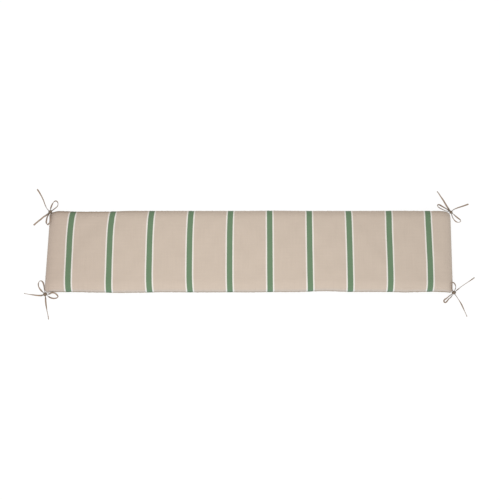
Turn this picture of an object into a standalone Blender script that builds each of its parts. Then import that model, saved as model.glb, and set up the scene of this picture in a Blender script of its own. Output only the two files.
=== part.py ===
"""A long bench cushion with a bow of narrow cloth ties at each of its four corners.

The cushion is one filled solid: a top and an underside panel meet in a single seam round the middle
of its rolled edge. The top is crowned, the underside is flat where it lies, and the corners are drawn
in and droop where the ties are sewn. Each corner has a knot, two loops and two free tails.

Metres, +Z up. X runs along the cushion, -Y is its front edge, and the origin is on the ground under
the middle of the cushion.
"""

import math
from collections import namedtuple

import bmesh
import bpy
from mathutils import Matrix, Vector
from mathutils.geometry import interpolate_bezier

# Cushion: sizes from seam to seam, and heights above the ground.
LENGTH = 1.5256
DEPTH = 0.3216
SEAM_HEIGHT = 0.024
SHOULDER_RISE = 0.026
CROWN_RISE = 0.008
TOP_ROLL = 0.038
UNDER_ROLL = 0.032
OUT_OF_SQUARE = 0.0063

# Corners: the outline's radius, and how far the seam droops towards the tip.
CORNER_RADIUS = 0.013
CORNER_DROOP = 0.012
DROOP_REACH = 0.022

# The cushion's grid: turns round each roll, and even steps across the middle.
ROLL_STEPS = 7
LENGTH_STEPS = 44
DEPTH_STEPS = 8

# The long edges bow in and out a little. Outward is away from the middle, in metres.
EdgeWave = namedtuple("EdgeWave", "middle half_length outward")
FRONT_WAVES = (
    EdgeWave(middle=-0.585, half_length=0.055, outward=0.0014),
    EdgeWave(middle=-0.483, half_length=0.120, outward=0.0034),
    EdgeWave(middle=-0.385, half_length=0.070, outward=0.0018),
    EdgeWave(middle=-0.180, half_length=0.200, outward=0.0012),
    EdgeWave(middle=0.000, half_length=0.085, outward=0.0011),
    EdgeWave(middle=0.285, half_length=0.125, outward=-0.0036),
    EdgeWave(middle=0.460, half_length=0.120, outward=-0.0008),
    EdgeWave(middle=0.585, half_length=0.045, outward=0.0014),
    EdgeWave(middle=0.680, half_length=0.060, outward=-0.0012),
)
BACK_WAVES = (
    EdgeWave(middle=-0.630, half_length=0.130, outward=-0.0034),
    EdgeWave(middle=-0.530, half_length=0.080, outward=-0.0021),
    EdgeWave(middle=0.090, half_length=0.110, outward=0.0011),
    EdgeWave(middle=0.560, half_length=0.110, outward=0.0006),
)

# The front edge bows out further than the back one, so all is moved back by half of that, which
# puts the middle of the cushion's box on the origin.
MOVED_BACK = 0.0011

# Ties: a flat strip of the cushion's cloth, folded and stitched.
TIE_WIDTH = 0.006
TIE_THICKNESS = 0.002
TIE_POINT_SPACING = 0.005
TIE_EDGE_ROUNDING = 1

# A strip stands nearly on edge where it leaves its knot's face, which it stands just clear of.
KNOT_LEAN = math.radians(5)
KNOT_GAP = 0.0009

# Knots: an egg of three half sizes, with the wrap of the bow standing round it as a band.
KNOT_AROUND = 20
KNOT_RINGS = 12
WRAP_HALF_WIDTH = 0.42
WRAP_PROUD = 0.12

# Where each knot is and how it is turned, in millimetres and degrees.
Knot = namedtuple("Knot", "x y z half_length half_width half_height turn")
KNOTS = {
    "back_left": Knot(x=-759.5, y=156.0, z=27.5, half_length=8.5, half_width=7.0, half_height=6.0, turn=60),
    "front_left": Knot(x=-764.5, y=-166.3, z=13.0, half_length=8.2, half_width=7.4, half_height=6.0, turn=75),
    "back_right": Knot(x=769.3, y=158.9, z=18.0, half_length=7.5, half_width=6.0, half_height=6.0, turn=-45),
    "front_right": Knot(x=764.5, y=-160.8, z=15.0, half_length=8.5, half_width=6.5, half_height=6.0, turn=10),
}

# Routes of the loops and tails, in millimetres. A loop leaves its knot, follows its points and comes
# back to the knot, and a tail ends free at its last point. Under is the strip's height off the ground
# at its lowest edge. Lean is its turn about its own length: 0 stands it on edge and 90 lays it flat.
RoutePoint = namedtuple("RoutePoint", "x y under lean")
ROUTES = {
    ("back_left", "tail_1"): (
        RoutePoint(-775.3, 175.3, 10.6, 0),
        RoutePoint(-784.3, 193.3, 1.8, 25),
        RoutePoint(-792.3, 213.3, 0.3, 35),
        RoutePoint(-801.3, 231.3, 0.3, 38),
        RoutePoint(-811.3, 248.3, 0.3, 58),
        RoutePoint(-818.3, 258.3, 0.5, 45),
    ),
    ("back_left", "tail_2"): (
        RoutePoint(-776.8, 148.4, 9.6, 45),
        RoutePoint(-787, 144.6, 2.5, 38),
        RoutePoint(-799.1, 134.8, 0.3, 65),
        RoutePoint(-810.2, 125, 0.4, 45),
        RoutePoint(-824.3, 111.3, 0.5, 60),
    ),
    ("back_left", "loop_1"): (
        RoutePoint(-759, 180, 14.7, 80),
        RoutePoint(-756, 198, 3.7, 55),
        RoutePoint(-751, 207, 0.3, 0),
        RoutePoint(-744, 210, 0.4, -20),
        RoutePoint(-737, 205, 0.4, -30),
        RoutePoint(-735, 195, 1.4, 0),
        RoutePoint(-737, 186, 4.5, -2),
        RoutePoint(-744, 175, 12.4, 3),
    ),
    ("back_left", "loop_2"): (
        RoutePoint(-771, 139, 16.4, 30),
        RoutePoint(-775, 130, 7.4, 50),
        RoutePoint(-776, 121, 5.5, 60),
        RoutePoint(-772, 112, 9.5, 5),
        RoutePoint(-767, 106.5, 20.5, -10),
        RoutePoint(-761, 105.5, 35.5, -10),
        RoutePoint(-756.3, 111, 43, 45),
        RoutePoint(-755.5, 124, 43.4, 66),
        RoutePoint(-757.5, 137, 37, 62),
    ),
    ("front_left", "tail_1"): (
        RoutePoint(-781, -169, 2.6, 60),
        RoutePoint(-795, -168, 0.3, 40),
        RoutePoint(-812, -166, 0.5, 25),
        RoutePoint(-827, -164, 0.5, -17),
        RoutePoint(-845, -160, 0.5, -15),
    ),
    ("front_left", "tail_2"): (
        RoutePoint(-763.5, -182, 1.2, 55),
        RoutePoint(-762.5, -194, 0.3, 70),
        RoutePoint(-760, -208, 0.3, 48),
        RoutePoint(-757, -223, 0.3, 14),
        RoutePoint(-753, -239, 0.3, 0),
        RoutePoint(-750, -251, 0.5, 14),
        RoutePoint(-748.3, -261, 0.5, 5),
    ),
    ("front_left", "loop_1"): (
        RoutePoint(-768.5, -145, 9.9, 35),
        RoutePoint(-772, -129, 5.1, 70),
        RoutePoint(-777, -117, 1.3, 68),
        RoutePoint(-784, -111, 0.4, 5),
        RoutePoint(-791, -114, 0.4, -15),
        RoutePoint(-794, -123, 0.4, -50),
        RoutePoint(-791, -136, 1.4, -25),
        RoutePoint(-782, -149, 4.4, -70),
    ),
    ("front_left", "loop_2"): (
        RoutePoint(-749, -166, 12, -30),
        RoutePoint(-741, -164.7, 20, -30),
        RoutePoint(-733, -164.2, 21.5, -32),
        RoutePoint(-727, -164.6, 17, -34),
        RoutePoint(-721.5, -167, 8, -50),
        RoutePoint(-718, -171, 1.5, -42),
        RoutePoint(-718.5, -175, 0.4, -38),
        RoutePoint(-724, -178.5, 0.4, -52),
        RoutePoint(-735, -179.5, 1.1, -68),
        RoutePoint(-747, -176.5, 3.4, -72),
    ),
    ("back_right", "tail_1"): (
        RoutePoint(761, 177, 8.4, 60),
        RoutePoint(754, 194, 2.3, 72),
        RoutePoint(746, 211, 0.5, 52),
        RoutePoint(737, 226, 0.3, 22),
        RoutePoint(729, 240, 0.5, 10),
        RoutePoint(723, 249, 0.5, 0),
    ),
    ("back_right", "tail_2"): (
        RoutePoint(781.8, 173, 5.5, 33),
        RoutePoint(796.4, 181, 1.5, 52),
        RoutePoint(812, 187, 0.3, 62),
        RoutePoint(826, 192, 0.4, 75),
        RoutePoint(840.8, 197.6, 0.5, 78),
    ),
    ("back_right", "loop_1"): (
        RoutePoint(753, 173.5, 12.4, 8),
        RoutePoint(744, 182, 6.4, 14),
        RoutePoint(734, 191, 1.9, 50),
        RoutePoint(727, 195, 0.7, 20),
        RoutePoint(722, 193, 0.4, 24),
        RoutePoint(724, 186, 0.7, 38),
        RoutePoint(733, 178, 3.4, 52),
        RoutePoint(743, 170.5, 8.4, 40),
        RoutePoint(752, 165.5, 11.4, 25),
    ),
    ("back_right", "loop_2"): (
        RoutePoint(783, 150.5, 6.9, 50),
        RoutePoint(795, 142, 2.4, 75),
        RoutePoint(804, 135, 1, 60),
        RoutePoint(808, 129, 0.4, 12),
        RoutePoint(805, 125, 0.4, -12),
        RoutePoint(797.5, 122.5, 0.4, -20),
        RoutePoint(788.5, 126.5, 0.4, 20),
        RoutePoint(781, 134, 2.4, 0),
        RoutePoint(776, 142, 5.4, 0),
    ),
    ("front_right", "tail_1"): (
        RoutePoint(781, -146, 3.4, 38),
        RoutePoint(794, -135, 0.6, 4),
        RoutePoint(808, -125, 0.3, 8),
        RoutePoint(823, -115, 0.3, 14),
        RoutePoint(836, -106, 0.3, 40),
        RoutePoint(847, -98, 0.5, 32),
    ),
    ("front_right", "tail_2"): (
        RoutePoint(777.8, -177.1, 2.4, 15),
        RoutePoint(785.7, -189.1, 0.3, 30),
        RoutePoint(792.6, -202.2, 0.3, 60),
        RoutePoint(798.5, -217.2, 0.3, 52),
        RoutePoint(804.4, -233.3, 0.3, 12),
        RoutePoint(810.6, -250.2, 0.5, 4),
    ),
    ("front_right", "loop_1"): (
        RoutePoint(755.5, -151, 26.4, 5),
        RoutePoint(754, -144, 35.5, 0),
        RoutePoint(753, -137, 40.5, 5),
        RoutePoint(757, -130, 38.5, -4),
        RoutePoint(763, -127, 27.5, -5),
        RoutePoint(769, -129, 17.5, -12),
        RoutePoint(773, -135, 9.5, 0),
        RoutePoint(772, -143, 9.4, 20),
    ),
    ("front_right", "loop_2"): (
        RoutePoint(749, -170.5, 4, 16),
        RoutePoint(743, -175.5, 1.5, 18),
        RoutePoint(736.5, -180.5, 0.3, 28),
        RoutePoint(730.5, -184.5, 0.3, 45),
        RoutePoint(727.5, -190, 0.3, 58),
        RoutePoint(730, -195, 0.3, 62),
        RoutePoint(736, -194, 0.3, 60),
        RoutePoint(741.5, -187.5, 0.3, 50),
        RoutePoint(747, -181, 1.2, 32),
        RoutePoint(753.5, -176.5, 4, 30),
    ),
}

CLOTH_COLOUR = (0.60, 0.50, 0.42, 1.0)
TIE_COLOUR = (0.30, 0.23, 0.17, 1.0)


def quarter_turn(distance, width):
    """Height of a rolled edge as a share of its full rise, at a distance in from the seam."""
    inward = min(max(distance / width, 0.0), 1.0)
    return math.sqrt(1.0 - (1.0 - inward) ** 2)


def bell(distance, half_width):
    """1 in the middle, falling smoothly to 0 at half_width and beyond."""
    if abs(distance) >= half_width:
        return 0.0
    return math.cos(0.5 * math.pi * distance / half_width) ** 2


def grid_lines(half_span, inner_steps):
    """Places of the grid lines across one span: even turns round each roll, even steps between."""
    roll_angles = [step * 0.5 * math.pi / ROLL_STEPS for step in range(ROLL_STEPS + 1)]
    left_roll = [-half_span + TOP_ROLL * (1.0 - math.cos(angle)) for angle in roll_angles]
    start = left_roll[-1]
    inner = [start - 2.0 * start * step / inner_steps for step in range(1, inner_steps)]
    right_roll = [-place for place in reversed(left_roll)]
    return left_roll + inner + right_roll


def rounded_corner(x, y):
    """The same grid point once the square corner it lies in is drawn in to CORNER_RADIUS."""
    start_x = LENGTH / 2 - CORNER_RADIUS
    start_y = DEPTH / 2 - CORNER_RADIUS
    along = (abs(x) - start_x) / CORNER_RADIUS
    across = (abs(y) - start_y) / CORNER_RADIUS
    if along <= 0.0 or across <= 0.0:
        return x, y
    round_x = start_x + CORNER_RADIUS * along * math.sqrt(1.0 - across * across / 2.0)
    round_y = start_y + CORNER_RADIUS * across * math.sqrt(1.0 - along * along / 2.0)
    return math.copysign(round_x, x), math.copysign(round_y, y)


def edge_wave(x, y):
    """How far the long edges' bowing moves a point in Y, fading out towards the middle line."""
    side, waves = (-1.0, FRONT_WAVES) if y < 0.0 else (1.0, BACK_WAVES)
    outward = sum(wave.outward * bell(x - wave.middle, wave.half_length) for wave in waves)
    return side * outward * (2.0 * y / DEPTH) ** 2


def cushion_point(x, y, is_top):
    """The place on the finished cushion of a point of the flat grid."""
    in_from_end = LENGTH / 2 - abs(x)
    in_from_side = DEPTH / 2 - abs(y)
    to_tip = math.hypot(in_from_end, in_from_side)
    seam = SEAM_HEIGHT - CORNER_DROOP * math.exp(-((to_tip / DROOP_REACH) ** 2))
    if is_top:
        roll = quarter_turn(in_from_end, TOP_ROLL) * quarter_turn(in_from_side, TOP_ROLL)
        crown = (1.0 - (2.0 * y / DEPTH) ** 2) * (1.0 - (2.0 * x / LENGTH) ** 8)
        height = seam + SHOULDER_RISE * roll + CROWN_RISE * crown
    else:
        roll = quarter_turn(in_from_end, UNDER_ROLL) * quarter_turn(in_from_side, UNDER_ROLL)
        height = seam * (1.0 - roll)
    plan_x, plan_y = rounded_corner(x, y)
    plan_x += OUT_OF_SQUARE * y / DEPTH
    plan_y += edge_wave(x, y)
    return Vector((plan_x, plan_y, height))


def cloth_material(name, colour, roughness):
    """A plain woven cloth."""
    material = bpy.data.materials.new(name)
    material.use_nodes = True
    shader = material.node_tree.nodes["Principled BSDF"]
    shader.inputs["Base Color"].default_value = colour
    shader.inputs["Roughness"].default_value = roughness
    shader.inputs["Metallic"].default_value = 0.0
    return material


def add_mesh_object(name, bm, material):
    """Turns a bmesh into a smooth-shaded object in the scene."""
    mesh = bpy.data.meshes.new(name)
    bm.to_mesh(mesh)
    bm.free()
    mesh.materials.append(material)
    mesh.shade_smooth()
    thing = bpy.data.objects.new(name, mesh)
    bpy.context.scene.collection.objects.link(thing)
    return thing


def build_cushion(material):
    """Top and underside panels over one grid, sewn together round the seam."""
    columns = grid_lines(LENGTH / 2, LENGTH_STEPS)
    rows = grid_lines(DEPTH / 2, DEPTH_STEPS)
    bm = bmesh.new()
    for is_top in (True, False):
        lattice = [[bm.verts.new(cushion_point(x, y, is_top)) for y in rows] for x in columns]
        for near, far in zip(lattice, lattice[1:]):
            for index in range(len(rows) - 1):
                corners = (near[index], far[index], far[index + 1], near[index + 1])
                bm.faces.new(corners if is_top else reversed(corners))
    bmesh.ops.remove_doubles(bm, verts=bm.verts, dist=0.00002)
    bmesh.ops.recalc_face_normals(bm, faces=bm.faces)
    return add_mesh_object("cushion", bm, material)


def build_knot(corner, knot, material):
    """An egg-shaped knot with the bow's wrap as a band round its middle."""
    bm = bmesh.new()
    bmesh.ops.create_uvsphere(bm, u_segments=KNOT_AROUND, v_segments=KNOT_RINGS, radius=1.0)
    bmesh.ops.rotate(bm, verts=bm.verts, matrix=Matrix.Rotation(math.pi / 2, 3, "Y"))
    for vert in bm.verts:
        vert.co *= 1.0 + WRAP_PROUD * bell(vert.co.x, WRAP_HALF_WIDTH)
    half_sizes = (knot.half_length / 1000, knot.half_width / 1000, knot.half_height / 1000)
    bmesh.ops.scale(bm, vec=half_sizes, verts=bm.verts)
    thing = add_mesh_object(f"knot_{corner}", bm, material)
    thing.rotation_euler.z = math.radians(knot.turn)
    thing.location = (knot.x / 1000, knot.y / 1000, knot.z / 1000)
    return thing


def at_knot_face(knot, place):
    """The place moved along its line from the knot's middle until it stands just off the knot's face."""
    middle = Vector((knot.x, knot.y, knot.z)) / 1000
    away = (place - middle).normalized()
    turned = Matrix.Rotation(-math.radians(knot.turn), 3, "Z") @ away
    half_sizes = (knot.half_length, knot.half_width, knot.half_height)
    shares = Vector([1000 * part / half_size for part, half_size in zip(turned, half_sizes)])
    radius = (1.0 + WRAP_PROUD * bell(shares.normalized().x, WRAP_HALF_WIDTH)) / shares.length
    return middle + away * (radius + KNOT_GAP)


def to_middle(lean):
    """The move from a strip's lowest edge up to its middle line, at a lean."""
    return Vector((0.0, 0.0, ((TIE_WIDTH - TIE_THICKNESS) * math.cos(lean) + TIE_THICKNESS) / 2))


def smooth_route(route, knot, is_loop):
    """Points and leans along a smooth curve through the route's points, about evenly spaced.

    A tail starts straight out of its knot's face, and a loop also comes straight back to it. The
    curve is drawn along the strip's lowest edge, so that no turn of the strip dips below the ground.
    """
    places = [Vector((point.x, point.y, point.under)) / 1000 for point in route]
    leans = [math.radians(point.lean) for point in route]
    first = at_knot_face(knot, places[0] + to_middle(leans[0]))
    places.insert(0, first - to_middle(KNOT_LEAN))
    leans.insert(0, KNOT_LEAN)
    if is_loop:
        last = at_knot_face(knot, places[-1] + to_middle(leans[-1]))
        places.append(last - to_middle(KNOT_LEAN))
        leans.append(KNOT_LEAN)
    padded = [2 * places[0] - places[1], *places, 2 * places[-1] - places[-2]]
    smooth = []
    for index in range(len(places) - 1):
        before, start, end, after = padded[index : index + 4]
        steps = max(1, round((end - start).length / TIE_POINT_SPACING))
        leaving = start + (end - before) / 6
        arriving = end - (after - start) / 6
        stretch = interpolate_bezier(start, leaving, arriving, end, steps + 1)
        for step, place in enumerate(stretch[:-1]):
            lean = leans[index] + (leans[index + 1] - leans[index]) * step / steps
            smooth.append((place + to_middle(lean), lean))
    smooth.append((places[-1] + to_middle(leans[-1]), leans[-1]))
    return smooth


def build_tie_piece(corner, piece, route, material):
    """A flat strip with rounded edges along a route: one loop or one tail of a bow."""
    name = f"tie_{corner}_{piece}"
    curve = bpy.data.curves.new(name, "CURVE")
    curve.dimensions = "3D"
    curve.twist_mode = "Z_UP"
    curve.fill_mode = "FULL"
    curve.extrude = (TIE_WIDTH - TIE_THICKNESS) / 2
    curve.bevel_depth = TIE_THICKNESS / 2
    curve.bevel_resolution = TIE_EDGE_ROUNDING
    curve.use_fill_caps = True
    points = smooth_route(route, KNOTS[corner], piece.startswith("loop"))
    spline = curve.splines.new("POLY")
    spline.points.add(len(points) - 1)
    for target, (place, lean) in zip(spline.points, points):
        target.co = (*place, 1.0)
        target.tilt = lean
    curve.materials.append(material)
    thing = bpy.data.objects.new(name, curve)
    bpy.context.scene.collection.objects.link(thing)
    return thing


def main():
    """Clears the scene and builds the cushion, then its four bows."""
    for thing in list(bpy.data.objects):
        bpy.data.objects.remove(thing, do_unlink=True)
    cloth = cloth_material("striped_cloth", CLOTH_COLOUR, 0.9)
    tie_cloth = cloth_material("tie_cloth", TIE_COLOUR, 0.9)
    build_cushion(cloth)
    for corner, knot in KNOTS.items():
        build_knot(corner, knot, tie_cloth)
    for (corner, piece), route in ROUTES.items():
        build_tie_piece(corner, piece, route, tie_cloth)
    for thing in bpy.data.objects:
        thing.location.y += MOVED_BACK


main()
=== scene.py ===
"""Looks of a long striped bench cushion with a bow of cloth ties at each corner.

Metres, +Z up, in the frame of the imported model. X runs along the cushion and -Y is its front edge.
"""

from __future__ import annotations

import logging
import math
from dataclasses import astuple, dataclass, field
from enum import Enum
from typing import Sequence

import bpy
import numpy as np
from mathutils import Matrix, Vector
from numpy.typing import NDArray


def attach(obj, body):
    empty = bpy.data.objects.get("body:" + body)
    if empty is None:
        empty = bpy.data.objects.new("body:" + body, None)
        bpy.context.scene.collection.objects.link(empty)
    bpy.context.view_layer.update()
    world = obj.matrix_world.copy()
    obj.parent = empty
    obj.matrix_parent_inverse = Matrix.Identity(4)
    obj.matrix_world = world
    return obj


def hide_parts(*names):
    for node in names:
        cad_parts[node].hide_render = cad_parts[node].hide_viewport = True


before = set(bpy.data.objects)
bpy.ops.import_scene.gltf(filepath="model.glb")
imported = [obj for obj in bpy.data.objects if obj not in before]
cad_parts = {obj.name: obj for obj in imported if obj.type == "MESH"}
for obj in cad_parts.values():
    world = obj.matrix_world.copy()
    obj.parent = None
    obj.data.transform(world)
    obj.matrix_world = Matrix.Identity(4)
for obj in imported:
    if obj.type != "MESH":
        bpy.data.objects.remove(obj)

Floats = NDArray[np.float64]
Ints = NDArray[np.int64]
Colour = tuple[float, float, float]
Thing = bpy.types.Object
Socket = bpy.types.NodeSocket

log = logging.getLogger("bench_cushion")

MILLIMETRE = 0.001
CLOTH_SHEEN = 0.08

# The whole part sits this far back of the places below, so that its box is centred on the origin.
MOVED_BACK = 0.0011


class Corner(Enum):
    """The cushion's four corners, by their names in the frame."""

    BACK_LEFT = "back_left"
    FRONT_LEFT = "front_left"
    BACK_RIGHT = "back_right"
    FRONT_RIGHT = "front_right"


class StripKind(Enum):
    """What a strip of a bow does: a tail ends free, and a loop comes back to its knot."""

    TAIL = "bare"
    LOOP = "object"


class Side(Enum):
    """The two panels of the cushion."""

    TOP = 1
    UNDER = -1


def smooth_step(share: Floats) -> Floats:
    """Rises from 0 to 1 with level ends: three squares less two cubes of the clipped share.

    Args:
        share: How far along the rise each value is, from 0 to 1.

    Returns:
        The eased values.
    """
    clipped = np.clip(share, 0.0, 1.0)
    return clipped * clipped * (3.0 - 2.0 * clipped)


def fade_out(distance: Floats, start: float, width: float) -> Floats:
    """1 up to start, and from there a smooth fall to 0 over width."""
    return 1.0 - smooth_step((distance - start) / width)


def bell(distance: Floats, half_width: float) -> Floats:
    """1 in the middle, falling to 0 at half_width as a squared cosine, and 0 beyond it.

    Args:
        distance: Signed distances from the middle.
        half_width: Where the bell reaches 0.

    Returns:
        The height of the bell at each distance.
    """
    turned = np.clip(np.abs(distance) / half_width, 0.0, 1.0) * math.pi / 2
    return np.cos(turned) ** 2


def quarter_turn(distance: Floats, width: float) -> Floats:
    """Share of the rise of a rolled edge: the height of a quarter ellipse that is width wide.

    Args:
        distance: Distances in from the seam.
        width: How far in the roll reaches.

    Returns:
        0 at the seam, and 1 from width inwards.
    """
    inward = np.clip(distance / width, 0.0, 1.0)
    return np.sqrt(np.clip(1.0 - (1.0 - inward) ** 2, 0.0, 1.0))


def running_length(heights: Floats, places: Floats) -> Floats:
    """Length along a profile from its middle: the sum of its steps' own lengths.

    Args:
        heights: Heights of the profile.
        places: Where along the ground each height is.

    Returns:
        Signed lengths, 0 at the middle of the profile.
    """
    steps = np.hypot(np.diff(places), np.diff(heights))
    run = np.concatenate([[0.0], np.cumsum(steps)])
    return run - np.interp(0.0, places, run)


def turned_about_z(points: Floats, degrees: float) -> Floats:
    """Points turned about Z, through an angle in degrees."""
    turn = math.radians(degrees)
    x, y = points[..., 0], points[..., 1]
    turned_x = x * math.cos(turn) - y * math.sin(turn)
    turned_y = x * math.sin(turn) + y * math.cos(turn)
    return np.stack([turned_x, turned_y, points[..., 2]], axis=-1)


def new_object(name: str, points: Floats, faces: Sequence[Ints], uvs: Floats | None) -> Thing:
    """Puts points and faces into a smooth mesh object at the origin.

    Args:
        name: The object's name.
        points: One row for each vertex.
        faces: Arrays of vertex numbers, one row for each face, each array with one number of corners.
        uvs: One row for each corner of each face, in the faces' order, or None.

    Returns:
        The object, linked to the scene.
    """
    mesh = bpy.data.meshes.new(name)
    corners = np.concatenate([rows.ravel() for rows in faces]).astype(np.int32)
    counts = np.concatenate([np.full(len(rows), rows.shape[1]) for rows in faces])
    starts = np.concatenate([[0], np.cumsum(counts)[:-1]]).astype(np.int32)
    mesh.vertices.add(len(points))
    mesh.vertices.foreach_set("co", points.astype(np.float32).ravel())
    mesh.loops.add(len(corners))
    mesh.loops.foreach_set("vertex_index", corners)
    mesh.polygons.add(len(starts))
    mesh.polygons.foreach_set("loop_start", starts)
    mesh.update(calc_edges=True)
    mesh.validate()
    if uvs is not None:
        layer = mesh.uv_layers.new(name="cloth")
        layer.data.foreach_set("uv", uvs.astype(np.float32).ravel())
    mesh.shade_smooth()
    thing = bpy.data.objects.new(name, mesh)
    bpy.context.scene.collection.objects.link(thing)
    return thing


def store_share(target: Thing, name: str, shares: Floats) -> None:
    """Stores one share from 0 to 1 for each point of a mesh, for its material to read."""
    layer = target.data.attributes.new(name, "FLOAT", "POINT")
    layer.data.foreach_set("value", shares.ravel().astype(np.float32))


def grid_faces(numbers: Ints) -> Ints:
    """The four-sided faces between neighbouring points of a grid.

    Args:
        numbers: The vertex number at each grid place.

    Returns:
        One row of four vertex numbers for each face.
    """
    quads = np.stack([numbers[:-1, :-1], numbers[1:, :-1], numbers[1:, 1:], numbers[:-1, 1:]], axis=-1)
    return quads.reshape(-1, 4)


def capped_tube(name: str, rings: Floats, ends: Floats, ring_uvs: Floats, end_uvs: Floats) -> Thing:
    """Makes a closed tube, with a point at each end that the nearest ring closes on.

    Args:
        name: The object's name.
        rings: Points, by ring and by place round it.
        ends: The points at the two ends.
        ring_uvs: U and V for each point of the rings.
        end_uvs: U and V for the two ends.

    Returns:
        The object.
    """
    count, around = rings.shape[:2]
    numbers = np.arange(count * around).reshape(count, around)
    closed = np.concatenate([numbers, numbers[:, :1]], axis=1)
    quads = grid_faces(closed)
    first_end, last_end = np.full(around, numbers.size), np.full(around, numbers.size + 1)
    first_cap = np.stack([first_end, closed[0, :-1], closed[0, 1:]], axis=-1)
    last_cap = np.stack([last_end, closed[-1, 1:], closed[-1, :-1]], axis=-1)
    points = np.concatenate([rings.reshape(-1, 3), ends])
    uvs = np.concatenate([ring_uvs.reshape(-1, 2), end_uvs])
    corners = np.concatenate([quads.ravel(), first_cap.ravel(), last_cap.ravel()])
    return new_object(name, points, [quads, first_cap, last_cap], uvs[corners])


class NodePlan:
    """Adds and joins the shader nodes of one material."""

    def __init__(self, name: str) -> None:
        """Starts a material that has a Principled shader and nothing else.

        Args:
            name: The material's name.
        """
        self.material = bpy.data.materials.new(name)
        self.material.use_nodes = True
        self.tree = self.material.node_tree
        self.shader = self.tree.nodes["Principled BSDF"]

    def value(self, socket: str, number: float | Colour) -> None:
        """Sets one of the shader's own sockets."""
        row = (*number, 1.0) if isinstance(number, tuple) else number
        self.shader.inputs[socket].default_value = row

    def add(self, kind: str, **settings: object) -> bpy.types.Node:
        """Adds a node.

        Args:
            kind: Blender's name for the kind of node.
            **settings: The node's own properties.

        Returns:
            The new node.
        """
        node = self.tree.nodes.new(kind)
        for name, setting in settings.items():
            setattr(node, name, setting)
        return node

    def join(self, source: Socket | float, target: Socket) -> None:
        """Links a socket to a target, or sets the target to a number."""
        if isinstance(source, Socket):
            self.tree.links.new(source, target)
        else:
            target.default_value = source

    def maths(self, operation: str, *values: Socket | float) -> Socket:
        """Adds a Math node.

        Args:
            operation: Blender's name for the sum.
            *values: Its inputs in order, each a socket or a number.

        Returns:
            Its result.
        """
        node = self.add("ShaderNodeMath", operation=operation)
        for number, value in enumerate(values):
            self.join(value, node.inputs[number])
        return node.outputs[0]

    def ramp(self, value: Socket, low: float, high: float, start: float = 0.0,
             end: float = 1.0) -> Socket:
        """Maps a value from low..high to start..end with level ends, and clips it.

        Args:
            value: The socket to map.
            low: Where the result is start.
            high: Where the result is end.
            start: The result at low.
            end: The result at high.

        Returns:
            The mapped value.
        """
        node = self.add("ShaderNodeMapRange", interpolation_type="SMOOTHSTEP", clamp=True)
        for number, setting in enumerate((value, low, high, start, end)):
            self.join(setting, node.inputs[number])
        return node.outputs[0]

    def mix(self, share: Socket | float, first: Socket | Colour,
            second: Socket | Colour, blend: str = "MIX") -> Socket:
        """Mixes two colours.

        Args:
            share: How much of the second colour shows.
            first: A colour or a socket.
            second: A colour or a socket.
            blend: Blender's name for the way they mix.

        Returns:
            The mixed colour.
        """
        node = self.add("ShaderNodeMix", data_type="RGBA", blend_type=blend)
        self.join(share, node.inputs["Factor"])
        for name, colour in (("A", first), ("B", second)):
            socket = next(s for s in node.inputs if s.name == name and s.type == "RGBA")
            self.join((*colour, 1.0) if isinstance(colour, tuple) else colour, socket)
        return next(s for s in node.outputs if s.type == "RGBA")

    def noise(self, place: Socket, scale: Colour, detail: float) -> Socket:
        """Fractal noise over a place, with its own scale on each axis.

        Args:
            place: The place that the noise is read at.
            scale: Cycles to the metre on each axis.
            detail: How many finer octaves are added.

        Returns:
            The noise, about 0.5 on average.
        """
        stretched = self.add("ShaderNodeVectorMath", operation="MULTIPLY")
        self.join(place, stretched.inputs[0])
        stretched.inputs[1].default_value = scale
        node = self.add("ShaderNodeTexNoise", noise_dimensions="3D")
        node.inputs["Scale"].default_value = 1.0
        node.inputs["Detail"].default_value = detail
        node.inputs["Roughness"].default_value = 0.55
        self.join(stretched.outputs[0], node.inputs["Vector"])
        return node.outputs[0]

    def bump(self, height: Socket, depth: float) -> None:
        """Gives the shader's surface a relief, depth metres for a height of 1."""
        node = self.add("ShaderNodeBump")
        node.inputs["Strength"].default_value = 1.0
        node.inputs["Distance"].default_value = depth
        self.join(height, node.inputs["Height"])
        self.join(node.outputs[0], self.shader.inputs["Normal"])

    def cloth_uv(self) -> tuple[Socket, Socket, Socket]:
        """The mesh's own UV map in metres, whole, as U and as V."""
        place = self.add("ShaderNodeUVMap", uv_map="cloth").outputs[0]
        split = self.add("ShaderNodeSeparateXYZ")
        self.join(place, split.inputs[0])
        return place, split.outputs[0], split.outputs[1]

    def toned(self, colour: Socket, tone: Socket) -> Socket:
        """A colour times a tone."""
        grey = self.add("ShaderNodeCombineXYZ")
        for number in range(3):
            self.join(tone, grey.inputs[number])
        return self.mix(1.0, colour, grey.outputs[0], "MULTIPLY")

    def tinted(self, colour: Socket, name: str, tint: Colour) -> Socket:
        """A colour times a tint, by the mesh's share of that name."""
        share = self.add("ShaderNodeAttribute", attribute_name=name).outputs["Fac"]
        return self.mix(share, colour, self.mix(1.0, colour, tint, "MULTIPLY"))

    def cloth(self, colour: Socket, roughness: float, height: Socket, depth: float) -> bpy.types.Material:
        """Finishes a matt cloth with a slight sheen.

        Args:
            colour: The cloth's colour.
            roughness: The shader's roughness.
            height: The weave's relief.
            depth: Its depth in metres, for a height of 1.

        Returns:
            The material.
        """
        self.join(colour, self.shader.inputs["Base Color"])
        self.value("Roughness", roughness)
        self.value("Sheen Weight", CLOTH_SHEEN)
        self.value("Sheen Roughness", 0.6)
        self.value("Specular IOR Level", 0.2)
        self.bump(height, depth)
        return self.material


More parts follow.
